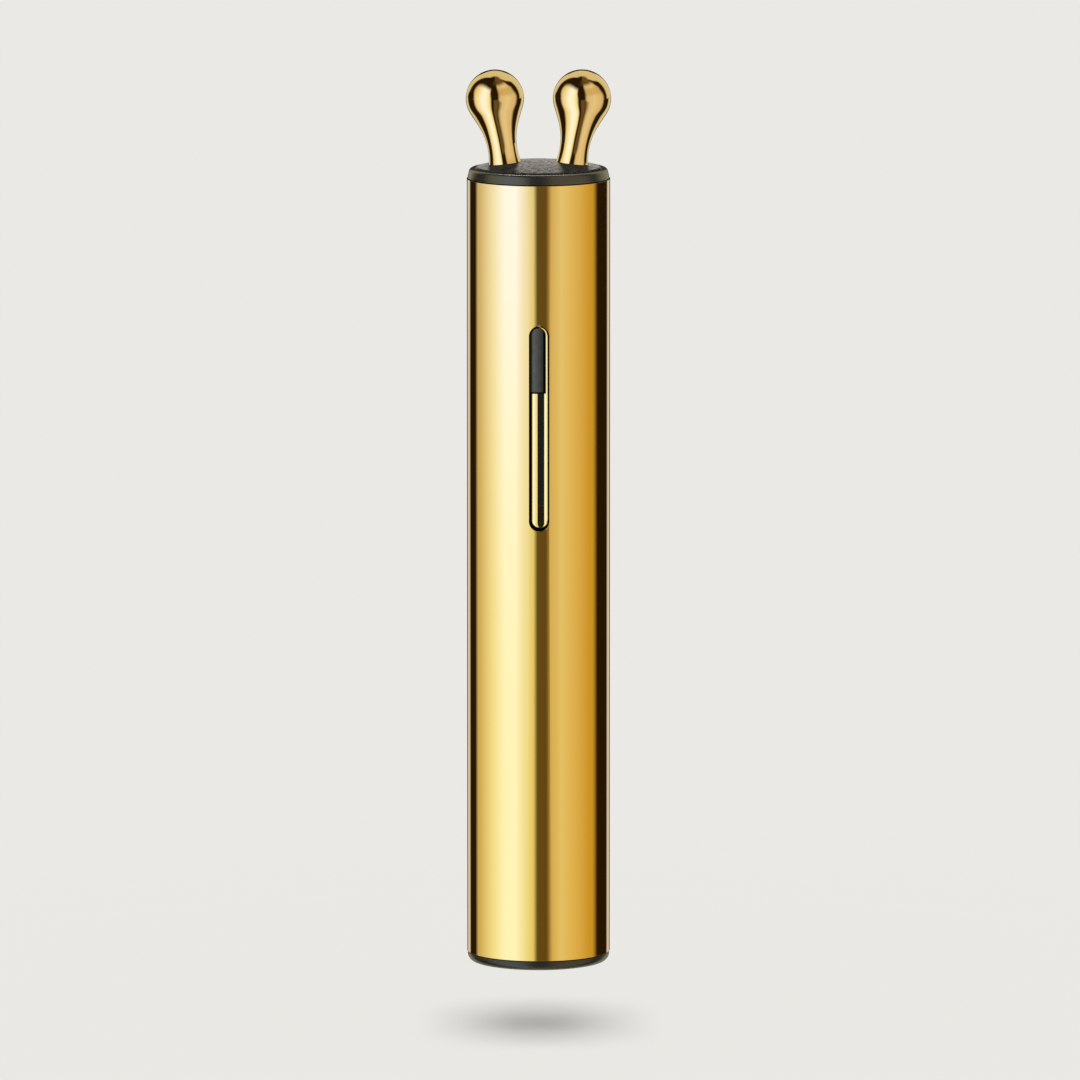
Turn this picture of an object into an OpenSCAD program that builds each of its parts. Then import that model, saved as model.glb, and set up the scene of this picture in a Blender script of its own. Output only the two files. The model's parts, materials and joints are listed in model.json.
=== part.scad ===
// Microcurrent facial wand: a gold-plated tube held between two black end caps. Two ball-ended
// electrodes stand in the domed top cap, and a thumb slider runs in a gold channel let into the
// front of the tube. Inside, one moulded chassis carries the fader that the slider moves, the
// driver board, the battery and the charging port, and ties the two caps together.
// Millimetres. Origin at the centre of the underside, +Z up the tube, slider towards -Y,
// electrodes towards -X and +X.

/* [Barrel] */
// Outside diameter of the tube
barrel_d = 26; // [25.6:0.1:27]
// Wall thickness of the tube
barrel_wall = 1; // [0.9:0.05:1.1]
// Length of the tube between the two caps
barrel_len = 142; // [141:0.5:150]
// Bevel on both rims of the tube
barrel_bevel = 0.15; // [0.1:0.05:0.35]

/* [Slot] */
// Width of the slot in the tube
slot_w = 3.5; // [3.4:0.02:3.8]
// Length of the slot from round end to round end
slot_len = 37.2; // [36.8:0.2:39]
// Distance from the tube's top rim down to the slot
slot_drop = 25.7; // [25:0.1:28]
// Bevel around the slot
slot_bevel = 0.1; // [0.05:0.05:0.25]

/* [Channel] */
// Depth of the channel's lowest place under the tube's surface
channel_depth = 2.3; // [2.2:0.05:2.4]
// Radius of the crown on the left of the channel's floor
crown_r = 3; // [2.6:0.1:4]
// Radius of the curve between the crown and the left wall
left_cove = 0.5; // [0.4:0.05:0.6]
// Radius of the curve between the floor and the right wall
right_cove = 1; // [0.8:0.05:1.05]
// Width of the slit that the lever passes through
slit_w = 1.1; // [1:0.05:1.2]
// Offset of the slit to the right of the slot's middle
slit_shift = 0.36; // [0.2:0.02:0.4]
// Distance from the slot's lower end to the slit's
slit_margin = 0.55; // [0.5:0.05:2]

/* [Slider] */
// Width of the thumb slider
slider_w = 2.76; // [2.6:0.02:2.8]
// Length of the thumb slider
slider_len = 11.9; // [11.4:0.1:12.6]
// Offset of the slider to the left of the slot's middle
slider_shift = 0.16; // [0.1:0.01:0.18]
// Gap between the slider's round end and the top of the slot
slider_gap = 0.3; // [0.25:0.05:0.6]
// Radius of the slider's crowned face
slider_crown = 2.5; // [2:0.5:8]
// Travel of the slider down the slot
slider_travel = 23.2; // [20:0.2:23.6]

/* [Top cap] */
// Height of the dome's middle over the tube's top rim
dome_rise = 3.15; // [3:0.05:3.6]
// Radius of curvature of the dome
dome_curve = 53.8; // [50:0.2:70]
// Radius of the domed carrier inside the rim ring
dome_r = 11.25; // [11:0.05:11.3]
// Bevel on the dome's edge inside the rim ring
dome_bevel = 0.15; // [0.1:0.05:0.3]
// Height of the rim ring's crest over the tube's top rim
crest_rise = 1.75; // [1.65:0.05:1.85]
// Radius of the rim ring's crest
crest_r = 0.65; // [0.55:0.05:0.7]
// Radius of the rim ring's outside under the crest
bead_r = 1.5; // [1.4:0.05:1.6]

/* [Electrodes] */
// Diameter of the ball
ball_d = 10.55; // [10:0.05:10.8]
// Distance between the two ball centres
ball_spread = 15.75; // [15.5:0.05:16.4]
// Height of the ball centres over the tube's top rim
ball_rise = 14.35; // [13.8:0.05:15]
// Outward lean of each electrode
lean = 8.6; // [7.5:0.1:9]
// Diameter of the neck at its thinnest
neck_d = 5.3; // [5:0.1:5.6]
// Distance from the ball centre to the thinnest place of the neck
neck_drop = 9.25; // [9:0.05:9.8]
// Diameter of the stud under the neck
stud_d = 3; // [2.6:0.1:3]

/* [Bottom cap] */
// Height of the cap that shows under the tube
foot_h = 1.7; // [1.55:0.05:1.9]
// Radius of the cap's rounded edge
foot_round = 1.4; // [1.2:0.05:1.5]
// Width of the charging port's opening
port_w = 9.2; // [9.1:0.05:9.4]
// Height of the charging port's opening
port_h = 3.5; // [3.4:0.05:3.7]

/* [Battery] */
// Diameter of the battery cell
cell_d = 14; // [13:0.5:14]
// Length of the battery cell
cell_len = 50; // [44:1:50]

/* [Hidden] */

$fn = 96;
eps = 0.02; // clearance between pieces that are seated on each other
over = 1; // how far a cutting shape runs past what it cuts

gold = "#d8a93c";
cap_black = "#33322f";
slider_grey = "#3d3d3b";
steel = "#b9bcc0";
nickel = "#c9c6bd";
copper = "#b8703a";
rubber = "#202020";
moulding = "#e4e2dc";
board_green = "#1f5a3a";
chip_black = "#26272a";

barrel_r = barrel_d / 2;
bore_r = barrel_r - barrel_wall;
rim_z = foot_h + barrel_len;
slot_r = slot_w / 2;
slot_hi = rim_z - slot_drop;
slot_lo = slot_hi - slot_len;
slot_mid = (slot_hi + slot_lo) / 2;

// Places across the tube, from the front to the back
channel_back = -barrel_r + channel_depth + 0.7;
flange_w = 9;
flange_r = bore_r - 0.35;
flange_thick = 0.8;
channel_rim = barrel_wall + 0.2;
valley_x = slot_r - left_cove;
floor_depth = channel_depth - left_cove - crown_r + sqrt(pow(crown_r + left_cove, 2) - pow(valley_x, 2));
slider_back = -barrel_r + floor_depth - 0.65;
fader_front = channel_back + 0.15;
fader_depth = 5;
board_front = fader_front + fader_depth;
board_thick = 1.6;
board_back = board_front + board_thick;

// Thumb slider and what it carries
slider_top = slot_hi - slider_gap;
slider_x = -slider_shift;
lever_z = slider_top - slider_len / 2;
lever_w = slit_w - 0.3;
lever_h = 3;

slit_lo = slot_lo + slit_margin;
slit_hi = lever_z + lever_h / 2 + 0.6;

// Fader, centred on the lever's travel
fader_w = 8;
fader_wall = 0.4;
carriage_h = 7;
fader_len = slider_travel + carriage_h + 6;
fader_mid = lever_z - slider_travel / 2;
pin_x = 1.5;
pins = [fader_mid - fader_len / 2 + 2, fader_mid + fader_len / 2 - 2];

// Top cap
ledge_h = 1;
skirt_r = 10.45;
skirt_drop = 11;
skirt_wall = 1.4;
roof_drop = 1.45;
roof_h = skirt_drop - ledge_h - roof_drop;
post_r = 2.2;
post_y = skirt_r - skirt_wall - post_r + 0.4;
hole_r = dome_r + 0.05;
crest_x = hole_r + crest_r;
crest_z = crest_rise - crest_r;
bead_x = barrel_r - 0.15 - bead_r;
dome_edge = dome_rise - pow(dome_r, 2) / (2 * dome_curve);

// Electrodes, each along its own axis with the ball centre at zero
ball_r = ball_d / 2;
neck_r = neck_d / 2;
ball_x = ball_spread / 2;
sweep_r = (pow(neck_r, 2) + pow(neck_drop, 2) - pow(ball_r, 2)) / (2 * (ball_r - neck_r));
sweep_x = neck_r + sweep_r;
blend_drop = neck_drop * ball_r / (ball_r + sweep_r);
foot_x = ball_x - (ball_rise - dome_rise) * tan(lean);
foot_drop = (ball_rise - dome_rise + pow(foot_x, 2) / (2 * dome_curve)) / cos(lean);
shoulder_drop = foot_drop + 0.4;
foot_r = sweep_x - sqrt(pow(sweep_r, 2) - pow(shoulder_drop - neck_drop, 2));
seal_h = 1;
seat_drop = shoulder_drop + 3.5;
washer_h = 0.6;
terminal_h = 0.4;
nut_h = 2.4;
stud_drop = seat_drop + washer_h + terminal_h + nut_h + 1.2;

// Bottom cap and what stands on it
foot_plate_h = 2.4;
spigot_h = 8;
spigot_r = bore_r - 0.05;
spigot_wall = 1.2;
spigot_foot = foot_h - 0.5;
flat_r = barrel_r - 0.1 - foot_round;
groove_z = 4;
groove_h = 1.5;
groove_deep = 0.75;
screw_x = 8;
screw_r = 1;
head_r = 1.8;
head_h = 1.2;
port_z = 0.3;
port_len = 7.3;
port_wall = 0.25;
shell_w = 8.94;
shell_h = 3.26;
board_y = shell_h / 2;
charge_y = 1.6;

// Chassis
shell_r = bore_r - 0.1;
shell_wall = 1;
shell_y = -2.4;
saddle_h = 2;
base_z = 10;
plate_h = 2;
cell_z = base_z + plate_h + 2;
cell_y = 1.5;
pad_h = 2;
partition_z = cell_z + 50 + 0.6 + pad_h;
head_z = rim_z + ledge_h - skirt_drop - plate_h;
board_z = partition_z + plate_h + 1;
board_len = head_z - 1 - board_z;
board_w = 17;
board_hole_x = board_w / 2 - 0.9;
board_holes = [board_z + 3, board_z + board_len - 3];
ledge_edge = sqrt(pow(shell_r, 2) - pow(board_back, 2)) - 0.2;

// Rounded or straight outlines

module obround(w, h) {
  square([w, h - w], center = true);
  for (end = [-1, 1]) translate([0, end * (h - w) / 2]) circle(d = w);
}

// An outline that faces the front, cut or raised between two depths
module facing_front(from_y, to_y, z = 0, x = 0) {
  translate([x, to_y, z]) rotate([90, 0, 0]) linear_extrude(to_y - from_y) children();
}

// Turns an upright shape to run towards the back
module backward(x, y, z) {
  translate([x, y, z]) rotate([-90, 0, 0]) children();
}

module tube(outer, inner, h) {
  difference() {
    cylinder(r = outer, h = h);
    translate([0, 0, -over]) cylinder(r = inner, h = h + 2 * over);
  }
}

module block(low, high) {
  translate(low) cube(high - low);
}

module screw(length, shank_r = screw_r, cap_r = head_r, cap_h = head_h) {
  difference() {
    translate([0, 0, -cap_h]) cylinder(r = cap_r, h = cap_h);
    translate([0, 0, -cap_h - over]) cylinder(r = cap_r * 0.5, h = over + cap_h * 0.5, $fn = 6);
  }
  cylinder(r = shank_r, h = length);
}

// Wires are round tubes along a smooth curve that their control points draw it towards

function unit(v) = v / norm(v);

function bend(a, b, c, t) = a * (1 - t) * (1 - t) + b * 2 * t * (1 - t) + c * t * t;

function wire_route(points, steps) =
  let (last = len(points) - 1)
  concat(
    [
      for (i = [1:last - 1])
        let (
          from = i == 1 ? points[0] : (points[i - 1] + points[i]) / 2,
          to = i == last - 1 ? points[last] : (points[i] + points[i + 1]) / 2
        )
        for (k = [0:steps - 1]) bend(from, points[i], to, k / steps)
    ],
    [points[last]]
  );

module wire(points, r, steps = 6, sides = 8) {
  route = wire_route(points, steps);
  last = len(route) - 1;
  rings = [
    for (i = [0:last])
      let (
        ahead = unit(route[min(i + 1, last)] - route[max(i - 1, 0)]),
        across = unit(cross(ahead, [1, 0.1, 0.2])),
        up = cross(across, ahead)
      )
      [
        for (k = [0:sides - 1])
          route[i] + r * (across * cos(360 * k / sides) + up * sin(360 * k / sides))
      ]
  ];
  polyhedron(
    points = [for (ring = rings) each ring],
    faces = concat(
      [[for (k = [0:sides - 1]) k]],
      [[for (k = [sides - 1:-1:0]) last * sides + k]],
      [
        for (i = [0:last - 1], k = [0:sides - 1], half = [0, 1])
          let (
            a = i * sides + k,
            b = i * sides + (k + 1) % sides
          )
          half == 0 ? [a, a + sides, b + sides] : [a, b + sides, b]
      ]
    )
  );
}

// Barrel

module slot_bevel_cutter() {
  deep = barrel_r - barrel_wall / 2;
  rise = over + barrel_wall / 2;
  // Sides of the bevel slope at 45 degrees from the slot's wall out to the surface
  start = barrel_r - pow(slot_r, 2) / (2 * barrel_r) - slot_bevel;
  for (end = [slot_hi - slot_r, slot_lo + slot_r])
    translate([0, -start, end]) rotate([90, 0, 0]) cylinder(r1 = slot_r, r2 = slot_r + rise, h = rise);
  translate([0, 0, slot_lo + slot_r]) linear_extrude(slot_len - slot_w)
    polygon([
      [-slot_r, -start], [slot_r, -start],
      [slot_r + rise, -start - rise], [-slot_r - rise, -start - rise]
    ]);
}

module barrel() {
  color(gold) difference() {
    translate([0, 0, foot_h]) rotate_extrude()
      polygon([
        [bore_r, barrel_bevel], [bore_r + barrel_bevel, 0],
        [barrel_r - barrel_bevel, 0], [barrel_r, barrel_bevel],
        [barrel_r, barrel_len - barrel_bevel], [barrel_r - barrel_bevel, barrel_len],
        [bore_r + barrel_bevel, barrel_len], [bore_r, barrel_len - barrel_bevel]
      ]);
    facing_front(-barrel_r - over, -bore_r + over, slot_mid) obround(slot_w, slot_len);
    slot_bevel_cutter();
  }
}

// Top cap

// The ring's crest and its outside are two arcs, with a straight flank from one to the other
module bead_section() {
  across = [crest_x - bead_x, crest_z];
  a = atan2(across[1], across[0]) - acos((bead_r - crest_r) / norm(across));
  inset = 0.002;
  flank = [cos(a), sin(a)];
  intersection() {
    translate([bead_x, 0]) circle(bead_r);
    translate([crest_x, 0]) square(bead_r);
  }
  translate([crest_x, crest_z]) circle(crest_r);
  polygon([
    [crest_x, 0], [bead_x, 0] + (bead_r - inset) * flank,
    [crest_x, crest_z] + (crest_r - inset) * flank, [crest_x, crest_z]
  ]);
  translate([hole_r, 0]) square([crest_r, crest_z]);
}

module top_ring() {
  color(cap_black) translate([0, 0, rim_z]) rotate_extrude() {
    bead_section();
    translate([skirt_r + 0.05, -4]) square([bore_r - skirt_r - 0.1, 4]);
    translate([skirt_r + 0.05, 0]) square([hole_r - skirt_r, ledge_h]);
  }
}

module dome_section() {
  intersection() {
    translate([0, dome_rise - dome_curve]) circle(dome_curve, $fn = 360);
    translate([0, ledge_h]) square([dome_r, dome_rise]);
  }
}

module at_electrode(side) {
  translate([side * ball_x, 0, rim_z + ball_rise]) rotate([0, side * lean, 0]) children();
}

module electrode_carrier() {
  color(cap_black) difference() {
    translate([0, 0, rim_z]) rotate_extrude() difference() {
      union() {
        dome_section();
        translate([0, ledge_h - skirt_drop]) square([skirt_r, skirt_drop]);
      }
      translate([dome_r, dome_edge])
        polygon([
          [-dome_bevel, over], [-dome_bevel, 0], [0, -dome_bevel], [over, -dome_bevel], [over, over]
        ]);
    }
    // Space under the roof, with a flat seat for each washer square to its electrode
    translate([0, 0, rim_z + ledge_h - skirt_drop - over])
      cylinder(r = skirt_r - skirt_wall, h = roof_h + over);
    for (side = [-1, 1]) at_electrode(side) {
      translate([0, 0, -shoulder_drop]) cylinder(r = foot_r + 0.04, h = 3);
      translate([0, 0, -shoulder_drop - seal_h]) cylinder(r = 2.5, h = seal_h + over);
      translate([0, 0, -seat_drop - over]) cylinder(d = stud_d + 0.1, h = seat_drop);
      translate([0, 0, -seat_drop - 6]) cylinder(r = 3.5, h = 6);
    }
  }
  // Posts that take the screws from the chassis
  color(cap_black) for (side = [-1, 1])
    translate([0, side * post_y, rim_z + ledge_h - skirt_drop]) difference() {
      cylinder(r = post_r, h = roof_h + 0.5);
      translate([0, 0, -over]) cylinder(r = screw_r + eps, h = 6 + over);
    }
}

// Electrodes

// Outline of the neck: one arc from where it leaves the ball, through the waist, to the shoulder
function neck_points(steps = 40) =
  let (
    top = asin((neck_drop - blend_drop) / sweep_r),
    bottom = -asin((shoulder_drop - neck_drop) / sweep_r)
  )
  [
    for (i = [0:steps])
      let (a = top + (bottom - top) * i / steps)
      [sweep_x - sweep_r * cos(a), sweep_r * sin(a) - neck_drop]
  ];

module electrode() {
  sphere(ball_r);
  rotate_extrude() polygon(concat(
    [[0, 0], [neck_r, 0]], neck_points(),
    [[stud_d / 2, -shoulder_drop], [stud_d / 2, -stud_drop], [0, -stud_drop]]
  ));
}

module electrode_left() {
  color(gold) at_electrode(-1) electrode();
}

module electrode_right() {
  color(gold) at_electrode(1) electrode();
}

module electrode_seals() {
  cord_r = 0.46;
  color(rubber) for (side = [-1, 1]) at_electrode(side)
    translate([0, 0, -shoulder_drop - seal_h / 2]) rotate_extrude()
      translate([stud_d / 2 + cord_r + eps, 0]) circle(cord_r, $fn = 32);
}

module electrode_washers() {
  color(steel) for (side = [-1, 1]) at_electrode(side)
    translate([0, 0, -seat_drop - washer_h]) tube(3, stud_d / 2 + 0.1, washer_h);
}

module lead_terminals() {
  color(nickel) for (side = [-1, 1]) at_electrode(side)
    translate([0, 0, -seat_drop - washer_h - terminal_h]) difference() {
      union() {
        cylinder(r = 2.7, h = terminal_h);
        translate([-1, -5.2, 0]) cube([2, 5.2, terminal_h]);
      }
      translate([0, 0, -over]) cylinder(r = stud_d / 2 + 0.1, h = terminal_h + 2 * over);
    }
}

module electrode_nuts() {
  color(steel) for (side = [-1, 1]) at_electrode(side)
    translate([0, 0, -seat_drop - washer_h - terminal_h - nut_h]) difference() {
      cylinder(d = 5.5 / cos(30), h = nut_h, $fn = 6);
      translate([0, 0, -over]) cylinder(r = stud_d / 2 + eps, h = nut_h + 2 * over);
    }
}

module carrier_screws() {
  color(steel) for (side = [-1, 1])
    translate([0, side * post_y, head_z]) screw(plate_h + 5);
}

// Bottom cap

module bottom_cap() {
  color(cap_black) difference() {
    union() {
      rotate_extrude() {
        intersection() {
          translate([flat_r, foot_round]) circle(foot_round);
          square([barrel_r, foot_round]);
        }
        translate([0, foot_round]) square([flat_r + foot_round, foot_h - foot_round]);
        square([flat_r, foot_plate_h]);
      }
      translate([0, 0, spigot_foot])
        tube(spigot_r, spigot_r - spigot_wall, spigot_h - spigot_foot);
    }
    // Groove for the seal
    translate([0, 0, groove_z]) tube(spigot_r + over, spigot_r - groove_deep, groove_h);
    translate([0, 0, -over]) linear_extrude(foot_plate_h + 2 * over) obround_across(port_w, port_h);
    for (side = [-1, 1]) translate([side * screw_x, 0, -over]) {
      cylinder(r = screw_r + 0.15, h = foot_plate_h + 2 * over);
      cylinder(r = head_r + 0.1, h = over + head_h + 0.1);
    }
  }
}

module obround_across(w, h) {
  rotate(90) obround(h, w);
}

module cap_seal() {
  color(rubber) translate([0, 0, groove_z + groove_h / 2]) rotate_extrude()
    translate([spigot_r - 0.32, 0]) circle(0.36, $fn = 32);
}

module cap_screws() {
  color(steel) for (side = [-1, 1]) translate([side * screw_x, 0, head_h + 0.1]) screw(8);
}

module port_shell_outline(inset = 0) {
  obround_across(shell_w - 2 * inset, shell_h - 2 * inset);
}

module charge_port() {
  color(steel) translate([0, 0, port_z]) {
    linear_extrude(port_len) difference() {
      port_shell_outline();
      port_shell_outline(port_wall);
    }
    translate([0, 0, port_len - 0.6]) linear_extrude(0.6) port_shell_outline(port_wall / 2);
  }
}

module port_tongue() {
  color(chip_black) block([-3.35, -0.35, port_z + 0.8], [3.35, 0.35, port_z + port_len - 0.6]);
}

module charge_board() {
  color(board_green) block([-5.6, board_y, foot_plate_h + 0.3], [5.6, board_y + 1, cell_z - 0.6]);
}

module charge_chip() {
  color(chip_black) block([-2, board_y + 1, base_z - 2], [1, board_y + 1.9, base_z + 1]);
}

// Chassis

module chassis() {
  color(moulding) difference() {
    union() {
      // Rear part of a tube, with plates across it
      translate([0, 0, base_z]) difference() {
        tube(shell_r, shell_r - shell_wall, head_z + plate_h - base_z);
        block([-barrel_r, -barrel_r, -over], [barrel_r, shell_y, barrel_len]);
      }
      for (z = [base_z, partition_z, head_z])
        translate([0, 0, z]) cylinder(r = shell_r - 0.1, h = plate_h);
      // Saddles that hold the cell
      for (z = [cell_z + 5, cell_z + 24, cell_z + 43]) translate([0, 0, z]) saddle();
      // Ledges that the driver board lies on
      for (side = [0, 1]) mirror([side, 0, 0])
        block([board_w / 2 - 1.8, board_back, partition_z], [ledge_edge, board_back + 1.6, head_z + 1]);
      for (side = [-1, 1])
        translate([side * screw_x, 0, foot_plate_h]) cylinder(r = post_r, h = base_z - foot_plate_h + 1);
    }
    // Gap for the charging board and the battery's leads
    block([-5.8, -9, base_z - over], [5.8, board_y + 2.2, base_z + plate_h + over]);
    // Gap for the supply leads
    block([-3, -shell_r - over, partition_z - over], [3, -7, partition_z + plate_h + over]);
    translate([0, 0, head_z - over]) cylinder(r = 5.2, h = plate_h + 2 * over);
    for (side = [-1, 1]) {
      translate([side * screw_x, 0, foot_plate_h - over]) cylinder(r = screw_r + eps, h = 8);
      translate([0, side * post_y, head_z - over]) cylinder(r = screw_r + 0.15, h = plate_h + 2 * over);
      for (z = board_holes) backward(side * board_hole_x, board_back - over, z)
        cylinder(r = 0.6, h = 1.4 + over);
    }
    // Windows in the back
    for (z = [board_z + 6, board_z + 24, board_z + 42])
      translate([0, 0, z]) facing_front(shell_r - shell_wall - 3, shell_r + over) obround(10, 13);
  }
}

module saddle() {
  difference() {
    cylinder(r = shell_r - shell_wall / 2, h = saddle_h);
    translate([0, cell_y, -over]) cylinder(d = cell_d + 0.2, h = saddle_h + 2 * over);
    block([-barrel_r, -barrel_r, -over], [barrel_r, shell_y, saddle_h + over]);
    block([-cell_d / 2 - 0.1, shell_y - over, -over], [cell_d / 2 + 0.1, cell_y, saddle_h + over]);
  }
}

// Channel behind the slot

// The trough's outline in width and depth: a crown left of the floor's middle, down to the valley
function crown_points(steps = 10) =
  let (touch = asin(valley_x / (crown_r + left_cove)))
  concat(
    [
      for (i = [0:steps - 1])
        let (a = touch * i / steps)
        [-crown_r * sin(a), floor_depth + crown_r * (1 - cos(a))]
    ],
    [
      for (i = [0:steps])
        let (a = touch * (i / steps - 1))
        [-valley_x - left_cove * sin(a), channel_depth - left_cove * (1 - cos(a))]
    ]
  );

// The cove from the valley up to the left wall, and the one on the right
function left_wall(steps = 10) = [
  for (i = [0:steps])
    let (a = 90 * i / steps)
    [valley_x + left_cove * sin(a), channel_depth - left_cove * (1 - cos(a))]
];

function right_wall(steps = 12) = [
  for (i = [0:steps])
    let (a = 90 * i / steps)
    [slot_r - right_cove * (1 - sin(a)), floor_depth - right_cove * (1 - cos(a))]
];

function mirrored(points) = [for (p = points) [-p[0], p[1]]];

function reversed(points) = [for (i = [len(points) - 1:-1:0]) points[i]];

// Round end with a level floor and a cove round it
module end_bowl(wall, z) {
  translate([0, -barrel_r, z]) rotate([-90, 0, 0]) rotate_extrude()
    polygon(concat([[0, wall[0][1]]], wall, [[slot_r, -over], [0, -over]]));
}

module trough_cutter() {
  straight = slot_len - slot_w;
  crown = crown_points();
  translate([0, -barrel_r, slot_mid - straight / 2]) linear_extrude(straight) polygon(concat(
    crown, mirrored(left_wall()), [[-slot_r, -over], [slot_r, -over]], reversed(right_wall())
  ));
  for (z = [slot_mid - straight / 2, slot_mid + straight / 2]) {
    intersection() {
      end_bowl(left_wall(), z);
      translate([0, -barrel_r, z - slot_w]) linear_extrude(2 * slot_w) polygon(concat(
        [[0, -2 * over]], crown, [[-slot_w, channel_depth + 0.2], [-slot_w, -2 * over]]
      ));
    }
    intersection() {
      end_bowl(right_wall(), z);
      block([0, -barrel_r - 2 * over, z - slot_w], [slot_w, 0, z + slot_w]);
    }
  }
}

module slide_channel() {
  flange_h = slot_len + 8;
  lip = 0.25;
  color(gold) difference() {
    union() {
      intersection() {
        translate([0, 0, slot_mid - flange_h / 2]) tube(flange_r, flange_r - flange_thick, flange_h);
        block([-flange_w / 2, -barrel_r, slot_mid - flange_h / 2],
          [flange_w / 2, 0, slot_mid + flange_h / 2]);
      }
      facing_front(-barrel_r + channel_rim, channel_back, slot_mid)
        obround(slot_w + 2 * lip, slot_len + 2 * lip);
    }
    trough_cutter();
    facing_front(-barrel_r, channel_back + over, (slit_lo + slit_hi) / 2, slit_shift)
      obround(slit_w, slit_hi - slit_lo);
  }
}

module channel_gasket() {
  h = slot_len + 7.4;
  color(rubber) difference() {
    intersection() {
      translate([0, 0, slot_mid - h / 2]) tube(bore_r, flange_r + eps, h);
      block([-flange_w / 2 + 0.3, -barrel_r, slot_mid - h / 2],
        [flange_w / 2 - 0.3, 0, slot_mid + h / 2]);
    }
    facing_front(-barrel_r, -flange_r + 2, slot_mid) obround(slot_w + 0.6, slot_len + 0.6);
  }
}

// Slider and fader

module slider_outline() {
  translate([-slider_w / 2, 0]) square([slider_w, slider_len - slider_w / 2]);
  translate([0, slider_len - slider_w / 2]) circle(d = slider_w);
}

module thumb_slider() {
  face = -barrel_r + 0.08;
  color(slider_grey) difference() {
    intersection() {
      facing_front(face - over, slider_back, slider_top - slider_len, slider_x) slider_outline();
      translate([slider_x, face + slider_crown, slider_top - slider_len - over])
        cylinder(r = slider_crown, h = slider_len + 2 * over);
    }
    // Pocket for the lever
    block([slit_shift - lever_w / 2 - eps, -barrel_r + 1, lever_z - lever_h / 2 - eps],
      [slit_shift + lever_w / 2 + eps, slider_back + over, lever_z + lever_h / 2 + eps]);
  }
}

module slider_lever() {
  color(nickel) {
    block([slit_shift - lever_w / 2, -barrel_r + 1.05, lever_z - lever_h / 2],
      [slit_shift + lever_w / 2, fader_front + 1.2, lever_z + lever_h / 2]);
    block([slit_shift - lever_w / 2, fader_front + 1, lever_z - 2.5],
      [slit_shift + lever_w / 2, fader_front + 2.4, lever_z + 2.5]);
  }
}

module fader_carriage() {
  front = fader_front + fader_wall + 0.2;
  color(chip_black) difference() {
    block([-2.6, front, lever_z - carriage_h / 2], [2.6, front + 2.4, lever_z + carriage_h / 2]);
    block([slit_shift - lever_w / 2 - eps, front - over, lever_z - 2.5 - eps],
      [slit_shift + lever_w / 2 + eps, fader_front + 2.4 + eps, lever_z + 2.5 + eps]);
  }
}

module fader_contacts() {
  front = fader_front + fader_wall + 2.6;
  for (x = [-1.6, 0, 1.6]) color(nickel)
    block([x - 0.35, front, lever_z - 2.8], [x + 0.35, front + 0.75, lever_z + 2.8]);
}

module fader_housing() {
  color(steel) translate([0, fader_front, fader_mid]) difference() {
    block([-fader_w / 2, 0, -fader_len / 2], [fader_w / 2, fader_depth, fader_len / 2]);
    block([-fader_w / 2 + fader_wall, fader_wall, -fader_len / 2 + fader_wall],
      [fader_w / 2 - fader_wall, fader_depth + over, fader_len / 2 - fader_wall]);
    facing_front(-over, 2, 0, slit_shift) obround(1.6, slider_travel + 7.2);
  }
}

module fader_track() {
  front = fader_front + fader_depth - 1;
  color("#6b4423") block([-fader_w / 2 + fader_wall, front, fader_mid - fader_len / 2 + fader_wall],
    [fader_w / 2 - fader_wall, front + 1, fader_mid + fader_len / 2 - fader_wall]);
}

module fader_terminals() {
  color(nickel) for (x = [-pin_x, pin_x], z = pins) backward(x, board_front + eps, z)
    cylinder(r = 0.4, h = board_thick + 0.8, $fn = 24);
}

// Driver board

module main_board() {
  color(board_green) difference() {
    block([-board_w / 2, board_front, board_z], [board_w / 2, board_back, board_z + board_len]);
    for (x = [-board_hole_x, board_hole_x], z = board_holes) backward(x, board_front - over, z)
      cylinder(r = 0.65, h = board_thick + 2 * over);
    for (x = [-pin_x, pin_x], z = pins) backward(x, board_front - over, z)
      cylinder(r = 0.45, h = board_thick + 2 * over, $fn = 24);
  }
}

module board_screws() {
  color(steel) for (x = [-board_hole_x, board_hole_x], z = board_holes) backward(x, board_front, z)
    screw(board_thick + 1.2, 0.58, 0.9, 0.6);
}

module controller_chip() {
  color(chip_black) block([-3.5, board_back, board_z + 26], [3.5, board_back + 1, board_z + 33]);
}

module driver_chips() {
  color(chip_black) for (z = [board_z + 36, board_z + 47.8])
    block([-2, board_back, z], [2, board_back + 1.2, z + 4.5]);
}

module inductor_core() {
  color(chip_black) backward(0, board_back, board_z + 8) {
    cylinder(r = 4, h = 0.8);
    cylinder(r = 1.8, h = 4.4);
    translate([0, 0, 3.6]) cylinder(r = 4, h = 0.8);
  }
}

module inductor_coil() {
  color(copper) backward(0, board_back + 0.8 + eps, board_z + 8)
    tube(3.5, 1.8 + eps, 2.8 - 2 * eps);
}

module reservoir_capacitors() {
  color(steel) for (x = [-3, 3]) backward(x, board_back, board_z + 19) {
    cylinder(r = 2, h = 5);
    cylinder(r = 2.2, h = 0.6);
  }
}

module lead_socket() {
  color(moulding) translate([0, board_back, board_z + board_len - 8]) difference() {
    block([-3.5, 0, 0], [3.5, 3.4, 4.5]);
    block([-2.9, 0.6, 1.2], [2.9, 2.8, 4.5 + over]);
  }
}

// Battery

module battery() {
  color("#3f6fb0") translate([0, cell_y, cell_z]) rotate_extrude()
    polygon([
      [0, 0], [cell_d / 2 - 0.5, 0], [cell_d / 2, 0.5], [cell_d / 2, cell_len - 1],
      [cell_d / 2 - 1, cell_len], [2.6, cell_len], [2.6, cell_len + 0.3], [0, cell_len + 0.3]
    ]);
}

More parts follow.
